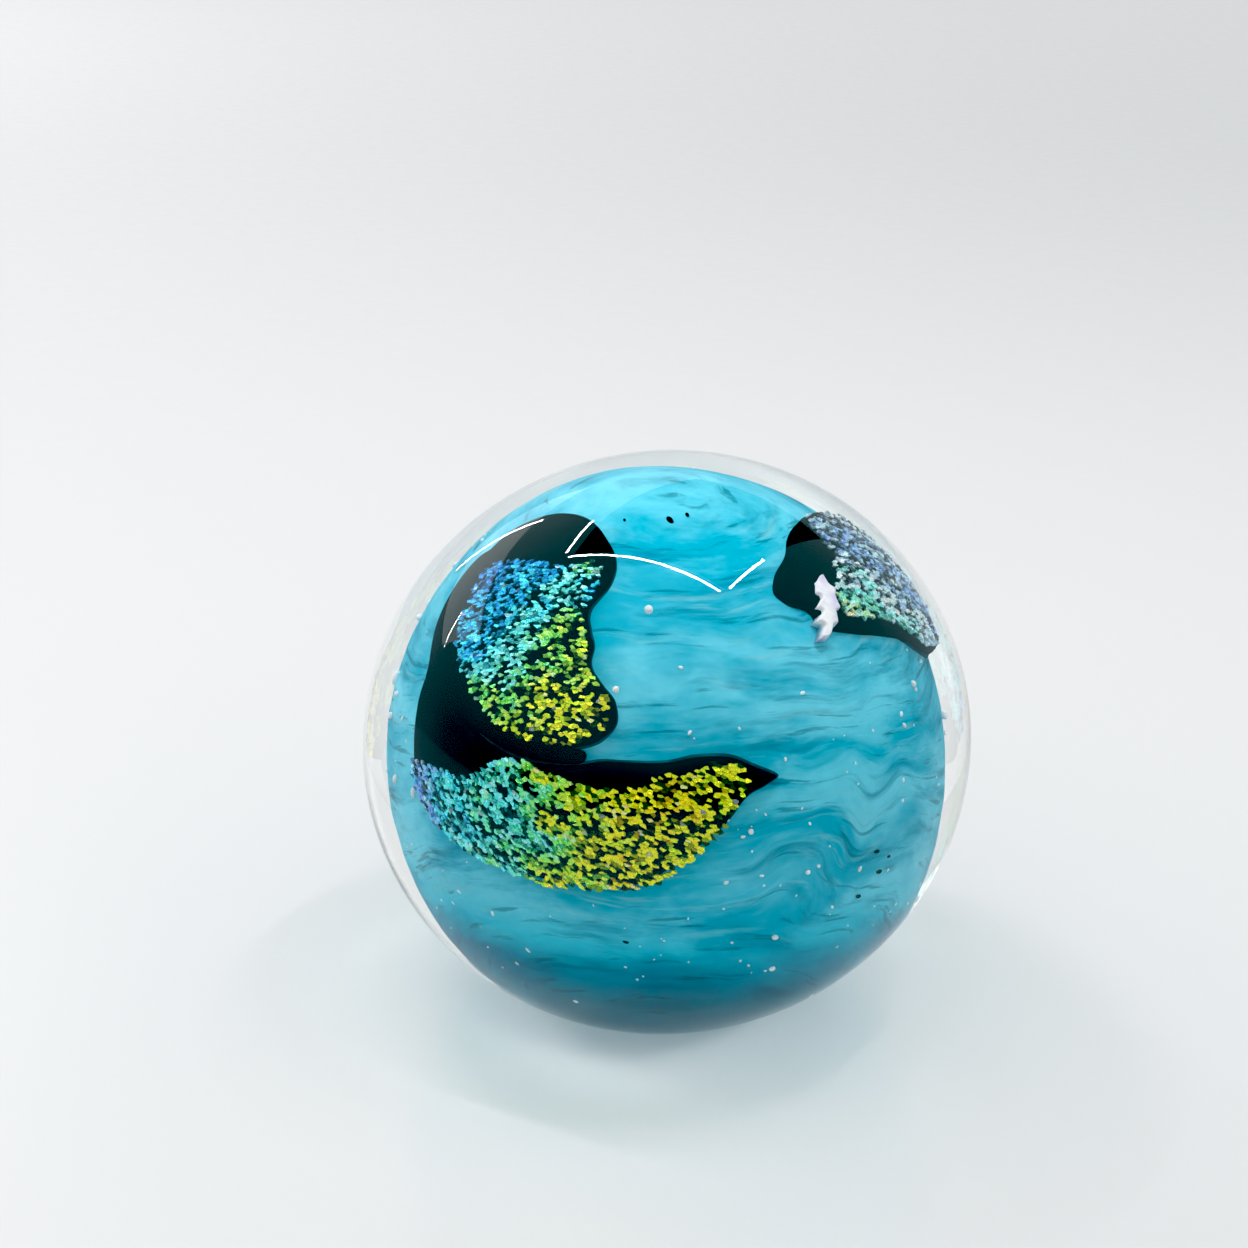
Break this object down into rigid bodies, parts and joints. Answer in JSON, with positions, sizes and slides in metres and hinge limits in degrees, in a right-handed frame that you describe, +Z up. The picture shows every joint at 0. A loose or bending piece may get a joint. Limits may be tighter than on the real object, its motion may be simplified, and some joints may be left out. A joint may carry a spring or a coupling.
{
  "type": "glass paperweight",
  "caption": "Solid clear glass ball, slightly flattened and ground flat underneath, round a turquoise core with black mirror-coated chips. It stands on papers to hold them down.",
  "frame": {"origin": "middle of the flat polished base, on the surface that the paperweight stands on", "axes": "+Z up, -Y towards the front, where the two large chips show, and +X to the right seen from the front"},
  "size_m": [0.0508, 0.051, 0.045],
  "materials": {
    "clear_glass": "fire-polished, water clear",
    "turquoise_glass": "opal, streaked, fused under clear glass",
    "black_glass": "opaque, glossy",
    "mirror_film": "crackled interference coating, blue through green to gold",
    "white_glass": "milky, torn edge"
  },
  "bodies": {
    "root": {"clear_casing": "clear_glass", "turquoise_layer": "turquoise_glass", "clear_heart": "clear_glass", "left_black_chip": "black_glass", "left_mirror_film": "mirror_film", "lower_black_chip": "black_glass", "lower_mirror_film": "mirror_film", "right_black_chip": "black_glass", "right_mirror_film": "mirror_film", "back_black_chip": "black_glass", "back_mirror_film": "mirror_film", "low_back_black_chip": "black_glass", "low_back_mirror_film": "mirror_film", "pale_fleck": "white_glass"}
  },
  "joints": []
}
